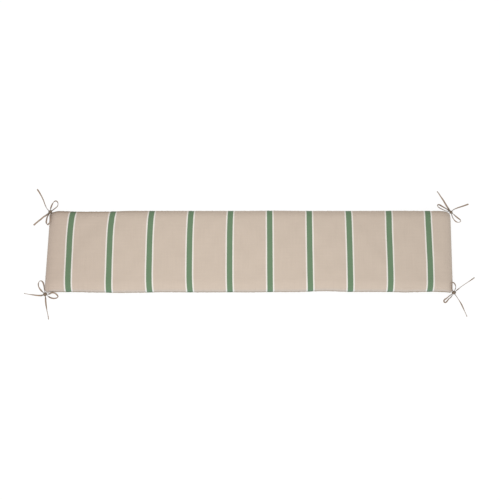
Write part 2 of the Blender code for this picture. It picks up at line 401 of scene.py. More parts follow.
@dataclass(frozen=True)
class Weave:
    """A plain weave: warp along V and weft along U, in metres on the cloth."""

    pitch: float = 0.0011
    depth: float = 0.00016
    slub: float = 0.10
    yarns_in_slub: float = 2.5
    slub_scale: float = 9.0

    def lay(self, plan: NodePlan, place: Socket, u: Socket, v: Socket) -> tuple[Socket, Socket]:
        """Adds the weave's relief, and the slight change of tone from yarn to yarn.

        The relief is the product of a sine along U and a sine along V, so that yarns pass over and
        under each other by turns.

        Args:
            plan: The material.
            place: The cloth's UV, in metres.
            u: Its U.
            v: Its V.

        Returns:
            The relief's height and the yarns' tone, which is 1 on average.
        """
        turns = math.pi / self.pitch
        across = plan.maths("SINE", plan.maths("MULTIPLY", u, turns))
        along = plan.maths("SINE", plan.maths("MULTIPLY", v, turns))
        cross = plan.maths("MULTIPLY_ADD", plan.maths("MULTIPLY", across, along), 0.5, 0.5)
        yarns = 1 / (self.yarns_in_slub * self.pitch)
        warp = plan.noise(place, (yarns, self.slub_scale, 1.0), 2.0)
        weft = plan.noise(place, (self.slub_scale, yarns, 1.0), 2.0)
        both = plan.maths("ADD", warp, weft)
        tone = plan.maths("MULTIPLY_ADD", both, self.slub, 1.0 - self.slub)
        return cross, tone


@dataclass(frozen=True)
class StripedCloth:
    """The panels' cloth: a taupe ground with narrow green stripes edged in off-white."""

    ground: Colour = (0.476, 0.393, 0.320)
    stripe: Colour = (0.119, 0.190, 0.107)
    edging: Colour = (0.655, 0.610, 0.562)
    pitch: float = 0.1504
    first: float = 0.0755
    stripe_width: float = 0.0207
    edging_width: float = 0.0052
    soft_edge: float = 0.0005
    wander: float = 0.0006
    wander_scale: Colour = (40.0, 14.0, 1.0)
    fade_share: float = 0.05
    fade_scale: Colour = (5.0, 9.0, 1.0)
    roughness: float = 0.92
    # Painted light: a cooler, lighter tint on the front roll by the seam, where the front light falls.
    painted_front_light_tint: Colour = (0.98, 1.04, 1.12)
    # Painted shade: a darker, warmer tint on the back roll, strongest towards the two ends.
    painted_back_shade_tint: Colour = (0.52, 0.44, 0.33)
    # Painted shade: the cloth darkens a little towards the left end.
    painted_left_shade_tint: Colour = (0.94, 0.91, 0.91)
    # Painted shade: a dark, warm line in the seam's crease, wider on the underside and stronger near the
    # corners.
    painted_crease_shade_tint: Colour = (0.53, 0.46, 0.33)
    weave: Weave = field(default_factory=Weave)

    def material(self) -> bpy.types.Material:
        """Makes the cloth's material.

        Returns:
            A material that reads the cushion's own UV map and its four shares of painted light and shade.
        """
        plan = NodePlan("striped_cloth")
        place, u, v = plan.cloth_uv()
        wandering = plan.noise(place, self.wander_scale, 1.0)
        shifted = plan.maths("MULTIPLY_ADD", wandering, self.wander, -self.first - self.wander / 2)
        along = plan.maths("ADD", u, shifted)
        repeats = plan.maths("MULTIPLY_ADD", along, 1 / self.pitch, 0.5)
        off_centre = plan.maths("SUBTRACT", plan.maths("FRACT", repeats), 0.5)
        distance = plan.maths("MULTIPLY", plan.maths("ABSOLUTE", off_centre), self.pitch)
        half = self.stripe_width / 2
        in_stripe = plan.ramp(distance, half - self.soft_edge, half + self.soft_edge, 1.0, 0.0)
        outer = half + self.edging_width
        in_edging = plan.ramp(distance, outer - self.soft_edge, outer + self.soft_edge, 1.0, 0.0)
        colour = plan.mix(in_edging, self.ground, self.edging)
        colour = plan.mix(in_stripe, colour, self.stripe)
        height, tone = self.weave.lay(plan, place, u, v)
        faded = plan.noise(place, self.fade_scale, 3.0)
        fading = plan.maths("MULTIPLY_ADD", faded, self.fade_share, 1.0 - self.fade_share / 2)
        shade = plan.maths("MULTIPLY", tone, fading)
        colour = plan.toned(colour, shade)
        # Painted light and shade: the cool light on the front roll, the shade on the back roll and at the
        # left end, and the shade in the seam's crease.
        for name, tint in (("painted_front_light", self.painted_front_light_tint), ("painted_back_shade", self.painted_back_shade_tint),
                           ("painted_left_shade", self.painted_left_shade_tint), ("painted_crease_shade", self.painted_crease_shade_tint)):
            colour = plan.tinted(colour, name, tint)
        return plan.cloth(colour, self.roughness, height, self.weave.depth)


@dataclass(frozen=True)
class TieCloth:
    """The ties' cloth: the ground's taupe, folded and stitched, so darker and closer."""

    ground: Colour = (0.300, 0.219, 0.159)
    fold: Colour = (0.178, 0.125, 0.088)
    # Painted shade: darkens the knot and the strips close to it, where the knot's folds shade the cloth.
    painted_knot_shade_tint: Colour = (0.56, 0.57, 0.56)
    stitch_line: float = 0.0024
    stitch_length: float = 0.0028
    patch_scale: Colour = (60.0, 35.0, 1.0)
    roughness: float = 0.9
    weave: Weave = field(default_factory=lambda: Weave(pitch=0.0010, depth=0.00012, slub=0.12))

    def material(self) -> bpy.types.Material:
        """Makes the ties' material, darker in patches and along the line of stitches, with painted shade at
        and near the knot.

        Returns:
            A material that reads each strip's own UV map: U across it and V along it, in metres.
        """
        plan = NodePlan("tie_cloth")
        place, u, v = plan.cloth_uv()
        height, tone = self.weave.lay(plan, place, u, v)
        from_line = plan.maths("ABSOLUTE", plan.maths("SUBTRACT", u, self.stitch_line))
        on_line = plan.ramp(from_line, 0.0001, 0.0005, 1.0, 0.0)
        stitches = plan.maths("SINE", plan.maths("MULTIPLY", v, 2 * math.pi / self.stitch_length))
        sunk = plan.maths("MULTIPLY", on_line, plan.ramp(stitches, -0.4, 0.2))
        patchy = plan.noise(place, self.patch_scale, 2.0)
        worn = plan.ramp(patchy, 0.5, 0.8, 0.0, 0.5)
        dark = plan.maths("MAXIMUM", plan.maths("MULTIPLY", sunk, 0.6), worn)
        colour = plan.toned(plan.mix(dark, self.ground, self.fold), tone)
        # Painted shade at and near the knot.
        colour = plan.tinted(colour, "painted_knot_shade", self.painted_knot_shade_tint)
        relief = plan.maths("SUBTRACT", height, plan.maths("MULTIPLY", sunk, 2.0))
        return plan.cloth(colour, self.roughness, relief, self.weave.depth)


@dataclass(frozen=True)
class FloorFinish:
    """The pale studio floor: a white light table, lit from below so that it takes hardly any shade.

    The glow and the light it takes come to just over white, so that a thin tie isn't washed out.
    """

    light: Colour = (0.14, 0.14, 0.14)
    shade: Colour = (0.13, 0.13, 0.13)
    glow: float = 0.88

    def material(self) -> bpy.types.Material:
        """Makes the floor's material, on Object coordinates."""
        plan = NodePlan("pale_floor")
        place = plan.add("ShaderNodeTexCoord").outputs["Object"]
        plan.join(plan.mix(plan.noise(place, (1.5, 1.5, 1.5), 2.0), self.shade, self.light),
                  plan.shader.inputs["Base Color"])
        plan.value("Roughness", 0.8)
        plan.value("Specular IOR Level", 0.1)
        plan.value("Emission Color", (1.0, 1.0, 1.0))
        plan.value("Emission Strength", self.glow)
        return plan.material


@dataclass
class StudioCamera:
    """A camera straight in front of the cushion, looking down at its face."""

    elevation: float = 71.5
    distance: float = 4.75
    lens: float = 90.70
    sensor: float = 36.0
    target: tuple[float, float, float] = (0.0019, 0.0025 + MOVED_BACK, 0.030)

    def build(self) -> Thing:
        """Makes the scene's camera.

        Returns:
            The camera, with its depth of field off.
        """
        tilt = math.radians(self.elevation)
        back = Vector((0.0, -math.cos(tilt), math.sin(tilt)))
        data = bpy.data.cameras.new("studio_camera")
        data.sensor_width = self.sensor
        data.lens = self.lens
        data.dof.use_dof = False
        camera = bpy.data.objects.new("studio_camera", data)
        camera.location = Vector(self.target) + back * self.distance
        camera.rotation_euler = (math.pi / 2 - tilt, 0.0, 0.0)
        bpy.context.scene.collection.objects.link(camera)
        bpy.context.scene.camera = camera
        return camera


@dataclass
class Studio:
    """A pale floor under even light, with a softbox overhead and a soft key from the front."""

    half_floor: float = 14.0
    sky: float = 0.70
    softbox_power: float = 11.5
    softbox_size: tuple[float, float] = (1.1, 0.7)
    softbox_place: tuple[float, float, float] = (-0.12, -0.15, 1.65)
    key_strength: float = 1.15
    key_softness: float = 45.0
    key_from: tuple[float, float, float] = (0.06, -1.40, 1.0)
    key_colour: Colour = (0.95, 0.99, 1.05)

    def build(self) -> None:
        """Makes the floor, the surrounding light, the softbox and the key light."""
        reach = self.half_floor
        square = np.array([[-1.0, -1.0, 0.0], [1.0, -1.0, 0.0], [1.0, 1.0, 0.0], [-1.0, 1.0, 0.0]]) * reach
        floor = new_object("studio_floor", square, [np.array([[0, 1, 2, 3]])], None)
        floor.data.materials.append(FloorFinish().material())
        world = bpy.data.worlds.new("studio_light")
        world.use_nodes = True
        background = world.node_tree.nodes["Background"]
        background.inputs["Color"].default_value = (1.0, 1.0, 1.0, 1.0)
        background.inputs["Strength"].default_value = self.sky
        bpy.context.scene.world = world
        panel = bpy.data.lights.new("softbox", "AREA")
        panel.shape = "RECTANGLE"
        panel.size, panel.size_y = self.softbox_size
        panel.energy = self.softbox_power
        softbox = bpy.data.objects.new("softbox", panel)
        softbox.location = self.softbox_place
        softbox.visible_camera = False
        bpy.context.scene.collection.objects.link(softbox)
        data = bpy.data.lights.new("key_light", "SUN")
        data.energy = self.key_strength
        data.color = self.key_colour
        data.angle = math.radians(self.key_softness)
        key = bpy.data.objects.new("key_light", data)
        key.rotation_mode = "QUATERNION"
        key.rotation_quaternion = Vector(self.key_from).to_track_quat("Z", "Y")
        bpy.context.scene.collection.objects.link(key)
        bpy.context.scene.view_settings.view_transform = "Standard"
        log.info("studio: floor, surrounding light, softbox and key light")


@dataclass(frozen=True)
class EdgeWave:
    """One bow in or out of a long edge. Outward is away from the cushion's middle, in metres."""

    middle: float
    half_length: float
    outward: float


def wave_rows(*rows: tuple[float, float, float]) -> tuple[EdgeWave, ...]:
    """Makes waves from rows of middle, half length and how far outward."""
    return tuple(EdgeWave(*row) for row in rows)


@dataclass(frozen=True)
class StripeBend:
    """How far one stripe lies to the right of its even place, in metres.

    Moved is for its whole length, and at_front and at_back are more of it at each long edge.
    """

    middle: float
    moved: float
    at_front: float
    at_back: float


def bend_rows(*rows: tuple[float, float, float, float]) -> tuple[StripeBend, ...]:
    """Makes bends from rows of middle, moved, at the front edge and at the back edge."""
    return tuple(StripeBend(*row) for row in rows)


@dataclass
class Cushion:
    """Top and underside panels sewn in one seam round a filled middle."""

    length: float = 1.5256
    depth: float = 0.3216
    seam_height: float = 0.024
    shoulder_rise: float = 0.026
    crown_rise: float = 0.008
    top_roll: float = 0.038
    under_roll: float = 0.032
    out_of_square: float = 0.0063
    corner_radius: float = 0.013
    corner_droop: float = 0.012
    droop_reach: float = 0.022
    roll_steps: int = 16
    length_steps: int = 400
    depth_steps: int = 56
    groove_depth: float = 0.0020
    groove_width: float = 0.0028
    # The fields from here to left_reach size the painted shade in the seam's crease, the painted light on
    # the front roll, and the painted shade on the back roll and at the left end.
    crease_top: float = 0.0040
    crease_under: float = 0.0110
    crease_share: float = 0.52
    crease_reach: float = 0.12
    front_band: tuple[float, float] = (0.008, 0.010)
    back_band: tuple[float, float] = (0.012, 0.016)
    over_back_band: tuple[float, float] = (0.015, 0.055)
    over_back_share: float = 0.055
    back_left_reach: float = 0.42
    back_right_reach: float = 0.07
    back_right_share: float = 0.80
    left_reach: float = 0.12
    pucker_depth: float = 0.0006
    pucker_reach: float = 0.020
    pucker_start: float = 0.006
    pucker_beat: float = 9.7
    pucker_scale: float = 2.2
    pucker_lengths: tuple[float, ...] = (0.0113, 0.0157, 0.0211, 0.0293, 0.0410)
    corner_pull: float = 1.4
    corner_pull_reach: float = 0.05
    lump_height: float = 0.0007
    lump_inset: float = 0.010
    lump_fade: float = 0.05
    lump_lengths: tuple[tuple[float, float], ...] = (
        (0.31, 0.27), (0.19, 0.21), (0.127, 0.16), (0.083, 0.12), (0.24, 0.11),
    )
    front_waves: tuple[EdgeWave, ...] = wave_rows(
        (-0.585, 0.055, 0.0014),
        (-0.483, 0.120, 0.0034),
        (-0.385, 0.070, 0.0018),
        (-0.180, 0.200, 0.0012),
        (0.000, 0.085, 0.0011),
        (0.285, 0.125, -0.0036),
        (0.460, 0.120, -0.0008),
        (0.585, 0.045, 0.0014),
        (0.680, 0.060, -0.0012),
    )
    back_waves: tuple[EdgeWave, ...] = wave_rows(
        (-0.630, 0.130, -0.0034),
        (-0.530, 0.080, -0.0021),
        (0.090, 0.110, 0.0011),
        (0.560, 0.110, 0.0006),
    )
    stripe_bends: tuple[StripeBend, ...] = bend_rows(
        (-0.68, -0.0003, 0.0019, 0.0085),
        (-0.53, 0.0013, 0.0002, 0.0085),
        (-0.38, 0.0004, 0.0031, 0.006),
        (-0.23, 0.0003, 0.0038, 0.0047),
        (-0.08, 0.0005, 0.002, 0.0036),
        (0.08, 0.0009, 0.0008, -0.0004),
        (0.23, 0, 0.0016, 0.0008),
        (0.38, -0.0003, 0.0004, -0.0008),
        (0.53, -0.0002, -0.0019, 0.0024),
        (0.68, -0.0017, -0.003, 0.0012),
    )
    fill: float = 0.75

    def stations(self, half_span: float, inner_steps: int) -> Floats:
        """Places of the grid lines across one span, closest together at the seam.

        Args:
            half_span: Half of the span from seam to seam.
            inner_steps: Even steps between the two rolls.

        Returns:
            Places from one seam to the other.
        """
        angles = (np.arange(self.roll_steps + 1) / self.roll_steps) ** 1.4 * math.pi / 2
        left = -half_span + self.top_roll * (1.0 - np.cos(angles))
        inner = np.linspace(left[-1], -left[-1], inner_steps + 1)[1:-1]
        return np.concatenate([left, inner, -left[::-1]])

    def insets(self, x: Floats, y: Floats) -> tuple[Floats, Floats]:
        """How far in from the nearer end, and from the nearer long edge, each grid place lies."""
        return self.length / 2 - np.abs(x), self.depth / 2 - np.abs(y)

    def seam_at(self, x: Floats, y: Floats) -> Floats:
        """Height of the seam level: it droops towards each tip as a bell of the distance to it."""
        to_tip = np.hypot(*self.insets(x, y))
        return self.seam_height - self.corner_droop * np.exp(-((to_tip / self.droop_reach) ** 2))

    def edge_wave(self, x: Floats, y: Floats) -> Floats:
        """How far the long edges' bowing moves each point in Y.

        Each wave is a bell along the edge, and it fades to the middle line as the square of y.

        Args:
            x: Grid places along the cushion.
            y: Grid places across it.

        Returns:
            The moves in Y.
        """
        front = sum(wave.outward * bell(x - wave.middle, wave.half_length) for wave in self.front_waves)
        back = sum(wave.outward * bell(x - wave.middle, wave.half_length) for wave in self.back_waves)
        fade = (2.0 * y / self.depth) ** 2
        return np.where(y < 0.0, -front, back) * fade

    def rounded_plan(self, x: Floats, y: Floats) -> tuple[Floats, Floats]:
        """The grid in plan, with each square corner drawn in to its radius.

        Inside a corner's square, each side is shortened by the root of one less half the square of
        the other, which takes a square onto a quarter of a disc.

        Args:
            x: Grid places along the cushion.
            y: Grid places across it.

        Returns:
            The two coordinates in plan.
        """
        radius = self.corner_radius
        start_x = self.length / 2 - radius
        start_y = self.depth / 2 - radius
        along = np.clip((np.abs(x) - start_x) / radius, 0.0, 1.0)
        across = np.clip((np.abs(y) - start_y) / radius, 0.0, 1.0)
        in_corner = (along > 0.0) & (across > 0.0)
        round_x = start_x + radius * along * np.sqrt(1.0 - across**2 / 2.0)
        round_y = start_y + radius * across * np.sqrt(1.0 - along**2 / 2.0)
        return (np.where(in_corner, np.copysign(round_x, x), x),
                np.where(in_corner, np.copysign(round_y, y), y))

    def panel(self, x: Floats, y: Floats, side: Side) -> Floats:
        """The smooth form of one panel over the grid.

        The top rises from the seam as the product of a quarter ellipse in from each edge, and then
        crowns as a parabola across and an eighth power along. The underside falls from the seam to
        the ground in the same way.

        Args:
            x: Grid places along the cushion.
            y: Grid places across it.
            side: Which panel.

        Returns:
            The points, one for each grid place.
        """
        from_end, from_side = self.insets(x, y)
        seam = self.seam_at(x, y)
        if side is Side.TOP:
            roll = quarter_turn(from_end, self.top_roll) * quarter_turn(from_side, self.top_roll)
            crown = (1.0 - (2.0 * y / self.depth) ** 2) * (1.0 - (2.0 * x / self.length) ** 8)
            height = seam + self.shoulder_rise * roll + self.crown_rise * crown
        else:
            roll = quarter_turn(from_end, self.under_roll) * quarter_turn(from_side, self.under_roll)
            height = seam * (1.0 - roll)
        plan_x, plan_y = self.rounded_plan(x, y)
        plan_x = plan_x + self.out_of_square * y / self.depth
        plan_y = plan_y + self.edge_wave(x, y) + MOVED_BACK
        return np.stack([plan_x, plan_y, height], axis=-1)

    def outward(self, points: Floats, side: Side) -> Floats:
        """Unit normals of a grid of points: the cross product of its two directions.

        Args:
            points: The panel's points.
            side: Which panel, so that the normals point out of the cushion.

        Returns:
            One normal for each point.
        """
        along = np.gradient(points, axis=0)
        across = np.gradient(points, axis=1)
        normals = np.cross(along, across) * side.value
        return normals / np.maximum(np.linalg.norm(normals, axis=-1, keepdims=True), 1e-12)

    def relief(self, x: Floats, y: Floats, side: Side) -> Floats:
        """How far the cloth stands out of the smooth form at each grid place.

        It is the sum of a groove on each side of the seam's lip, the cloth's distance squared times a
        bell of it, gathers across the seam that fade inwards as an exponential, stronger near the
        corners, and low lumps of the filling, each a sine along times a sine across, which fade to
        nothing at the rolls.

        Args:
            x: Grid places along the cushion.
            y: Grid places across it.
            side: Which panel.

        Returns:
            Distances along the normals, in metres.
        """
        from_end, from_side = self.insets(x, y)
        nearest = np.minimum(from_end, from_side)
        rise = self.shoulder_rise if side is Side.TOP else self.seam_height
        width = self.top_roll if side is Side.TOP else self.under_roll
        arc = np.hypot(nearest, rise * quarter_turn(nearest, width))
        from_lip = (arc / self.groove_width) ** 2
        groove = -self.groove_depth * from_lip * np.exp(1.0 - from_lip)
        phases = np.random.default_rng(11 if side is Side.TOP else 12)
        to_tip = np.hypot(from_end, from_side)
        pulled = 1.0 + self.corner_pull * np.exp(-to_tip / self.corner_pull_reach)
        gathers = np.zeros_like(x)
        for run, away in ((x, from_side), (y, from_end)):
            arc_away = np.hypot(away, rise * quarter_turn(away, width))
            sway = np.zeros_like(x)
            for wavelength in self.pucker_lengths:
                phase, slow = phases.uniform(0.0, 2.0 * math.pi, 2)
                beat = 0.6 + 0.4 * np.sin(2.0 * math.pi * run / (wavelength * self.pucker_beat) + slow)
                sway += beat * np.sin(2.0 * math.pi * run / wavelength + phase)
            gathers += sway / self.pucker_scale * np.exp(-arc_away / self.pucker_reach)
        gathers *= self.pucker_depth * pulled * smooth_step(arc / self.pucker_start)
        lumps = np.zeros_like(x)
        for wave_x, wave_y in self.lump_lengths:
            phase_x, phase_y = phases.uniform(0.0, 2.0 * math.pi, 2)
            across = np.sin(2.0 * math.pi * y / wave_y + phase_y)
            lumps += np.sin(2.0 * math.pi * x / wave_x + phase_x) * across
        lumps *= self.lump_height * smooth_step((nearest - self.lump_inset) / self.lump_fade)
        return groove + gathers + (lumps if side is Side.TOP else 0.0)

    def cloth_places(self, xs: Floats, ys: Floats, side: Side) -> Floats:
        """Where each grid place lies on its flat panel, in metres, with the stripes' lean taken off.

        U is the length along the middle row and V the length along the middle column. The stripes
        run square to the length, so the outline's slant is put back. The lean is read between the
        listed stripes, and grows to each long edge as a power of y.

        Args:
            xs: Grid lines along the cushion.
            ys: Grid lines across it.
            side: Which panel.

        Returns:
            U and V for each grid place.
        """
        middle_row = self.panel(xs, np.zeros_like(xs), side)
        middle_column = self.panel(np.zeros_like(ys), ys, side)
        along = running_length(middle_row[:, 2], xs)
        across = running_length(middle_column[:, 2], ys)
        u, v = np.meshgrid(along, across, indexing="ij")
        if side is Side.TOP:
            bends = np.array([astuple(bend) for bend in self.stripe_bends])
            moved, at_front, at_back = (
                np.interp(xs, bends[:, 0], bends[:, part])[:, None] for part in (1, 2, 3)
            )
            share = 2.0 * ys[None, :] / self.depth
            at_edge = np.where(share < 0.0, at_front * np.abs(share) ** 5, at_back * np.abs(share) ** 3)
            slant = self.out_of_square * ys[None, :] / self.depth
            u = u + slant - (moved + at_edge)
        return np.stack([u, v], axis=-1)

    def build(self) -> Thing:
        """Returns:
            The cushion.
        """
        xs = self.stations(self.length / 2, self.length_steps)
        ys = self.stations(self.depth / 2, self.depth_steps)
        x, y = np.meshgrid(xs, ys, indexing="ij")
        shapes = {}
        for side in Side:
            smooth = self.panel(x, y, side)
            shapes[side] = smooth + self.outward(smooth, side) * self.relief(x, y, side)[..., None]
        # The underside's middle stays flat: no point of it goes below the ground.
        shapes[Side.UNDER][..., 2] = np.maximum(shapes[Side.UNDER][..., 2], 0.0)
        inner = (slice(1, -1), slice(1, -1))
        top_numbers = np.arange(x.size).reshape(x.shape)
        under_numbers = top_numbers.copy()
        under_numbers[inner] = x.size + np.arange(x[inner].size).reshape(x[inner].shape)
        points = np.concatenate([shapes[Side.TOP].reshape(-1, 3), shapes[Side.UNDER][inner].reshape(-1, 3)])
        top_faces = grid_faces(top_numbers)
        under_faces = grid_faces(under_numbers)[:, ::-1]
        top_uvs = self.cloth_places(xs, ys, Side.TOP).reshape(-1, 2)[top_faces]
        under_uvs = self.cloth_places(xs, ys, Side.UNDER).reshape(-1, 2)[top_faces[:, ::-1]]
        uvs = np.concatenate([top_uvs.reshape(-1, 2), under_uvs.reshape(-1, 2)])
        cushion = new_object("padded_cushion", points, [top_faces, under_faces], uvs)
        self.paint_edge_light_and_shade(cushion, x, y)
        cushion.data.materials.append(StripedCloth().material())
        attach(cushion, "root")
        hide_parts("cushion")
        log.info("cushion: %d points, %d faces", len(points), len(top_faces) + len(under_faces))
        return cushion

    def paint_edge_light_and_shade(self, cushion: Thing, x: Floats, y: Floats) -> None:
        """Stores the cloth's shares of painted light and shade: front, back, left end and crease.

        The first, painted light, falls off smoothly over a few millimetres of cloth from the front seam.
        The second, painted shade, covers the back edge's roll, and grows as a bell towards the left and
        as an exponential towards the right. The third, painted shade, falls off as an exponential from the
        left end. The fourth, painted shade, is a bell of the cloth's distance from the seam, wider below
        it, stronger near each corner.

        Args:
            cushion: The finished mesh, whose first points are the top's grid.
            x: Grid places along the cushion.
            y: Grid places across it.
        """
        from_end, from_side = self.insets(x, y)
        nearest = np.minimum(from_end, from_side)
        arc = np.hypot(nearest, self.shoulder_rise * quarter_turn(nearest, self.top_roll))
        by_long_edge = from_side <= from_end
        on_front, on_back = (y < 0.0) * by_long_edge, (y > 0.0) * by_long_edge
        # Painted light on the front roll: it falls off over a few millimetres of cloth from the front seam.
        painted_front_light = fade_out(arc, *self.front_band) * on_front
        from_left, from_right = self.length / 2 + x, self.length / 2 - x
        # Painted shade on the back roll: a bell towards the left end, an exponential towards the right end,
        # and a little all along the back.
        leftwards = np.exp(-((from_left / self.back_left_reach) ** 2))
        rightwards = self.back_right_share * np.exp(-from_right / self.back_right_reach)
        over_back = self.over_back_share * fade_out(arc, *self.over_back_band)
        painted_back_shade = (fade_out(arc, *self.back_band) * (leftwards + rightwards) + over_back) * on_back
        # Painted shade towards the left end.
        painted_left_shade = np.exp(-from_left / self.left_reach)
        # Painted shade in the seam's crease: a bell of the cloth's distance from the seam, wider below it
        # and stronger near each corner.
        corner = np.exp(-np.hypot(from_end, from_side) / self.crease_reach)
        strength = self.crease_share + (1.0 - self.crease_share) * corner
        on_top = np.exp(-((arc / self.crease_top) ** 2)) * strength
        below = np.exp(-((arc / self.crease_under) ** 2)) * np.sqrt(strength)
        for name, top, under in (("painted_front_light", painted_front_light, painted_front_light), ("painted_back_shade", painted_back_shade, painted_back_shade),
                                 ("painted_left_shade", painted_left_shade, painted_left_shade), ("painted_crease_shade", on_top, below)):
            store_share(cushion, name, np.concatenate([top.ravel(), under[1:-1, 1:-1].ravel()]))


@dataclass(frozen=True)
class RoutePoint:
    """A point of a tie's route, in millimetres, and the strip's lean in degrees: 0 on edge, 90 flat.

    Under is the height off the ground of the strip's lowest edge.
    """

    x: float
    y: float
    under: float
    lean: float


@dataclass
class Knot:
    """The knot of a bow: an egg of three half sizes in millimetres, turned in degrees about Z."""

    corner: Corner
    x: float
    y: float
    z: float
    half_length: float
    half_width: float
    half_height: float
    turn: float
    wrap_half_width: float = 0.42
    wrap_proud: float = 0.12
    fold_turns: float = 21.0
    fold_depth: float = 0.035
    pinch_depth: float = 0.05
    end_share: float = 0.94
    around: int = 72
    rings: int = 56

    def middle(self) -> Floats:
        """The knot's middle, in metres, before the whole part is moved back."""
        return np.array([self.x, self.y, self.z]) * MILLIMETRE

    def half_sizes(self) -> Floats:
        """The egg's three half sizes, in metres."""
        return np.array([self.half_length, self.half_width, self.half_height]) * MILLIMETRE

    def face_towards(self, place: Floats, gap: float) -> Floats:
        """A point just off the knot's face, on the line from its middle to a place.

        Args:
            place: The place that the line goes to, in metres.
            gap: How far off the face the point stands.

        Returns:
            The point.
        """
        away = place - self.middle()
        away = away / np.linalg.norm(away)
        shares = turned_about_z(away, -self.turn) / self.half_sizes()
        length = float(np.linalg.norm(shares))
        swell = 1.0 + self.wrap_proud * float(bell(np.array(shares[0] / length), self.wrap_half_width))
        return self.middle() + away * (swell / length + gap)

    def build(self, finish: bpy.types.Material) -> Thing:
        """Makes the knot in place of its solid.

        Its radius in each direction is the egg's, times one and the wrap's bell across its middle,
        times one less a few folds: sines that follow the wrap, strongest where it turns under.

        Args:
            finish: The ties' material.

        Returns:
            The knot.
        """
        polar = np.linspace(0.0, math.pi, self.rings + 1)[1:-1]
        round_angle = np.linspace(0.0, 2.0 * math.pi, self.around, endpoint=False)
        tilt, angle = np.meshgrid(polar, round_angle, indexing="ij")
        along = np.cos(tilt)
        swell = 1.0 + self.wrap_proud * bell(along, self.wrap_half_width)
        folds = np.sin(along * self.fold_turns + 1.3 * np.sin(angle + 0.7)) * bell(along, 0.9)
        pinch = np.sin(angle * 3.0 + along * 2.0) * (1.0 - bell(along, 0.75))
        sunk = self.fold_depth * (1.0 + folds) / 2 + self.pinch_depth * (1.0 + pinch) / 2
        radius = swell * (1.0 - sunk)
        around = [along, np.sin(tilt) * np.cos(angle), np.sin(tilt) * np.sin(angle)]
        rings = np.stack(around, axis=-1) * radius[..., None] * self.half_sizes()
        ends = np.array([[1.0, 0.0, 0.0], [-1.0, 0.0, 0.0]]) * self.half_sizes() * self.end_share
        place = self.middle() + np.array([0.0, MOVED_BACK, 0.0])
        reach = np.array([self.half_width * 2.0, self.half_length * 2.0]) * MILLIMETRE
        ring_uvs = np.stack([angle / (2.0 * math.pi), tilt / math.pi], axis=-1) * reach
        rings = turned_about_z(rings, self.turn) + place
        ends = turned_about_z(ends, self.turn) + place
        end_uvs = np.array([[0.0, 0.0], [0.0, reach[1]]])
        knot = capped_tube(f"bow_knot_{self.corner.value}", rings, ends, ring_uvs, end_uvs)
        # Painted shade: the whole knot takes the ties' knot shade tint.
        store_share(knot, "painted_knot_shade", np.ones(len(knot.data.vertices)))
        knot.data.materials.append(finish)
        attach(knot, "root")
        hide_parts(f"knot_{self.corner.value}")
        log.info("%s: %d faces", knot.name, len(knot.data.polygons))
        return knot


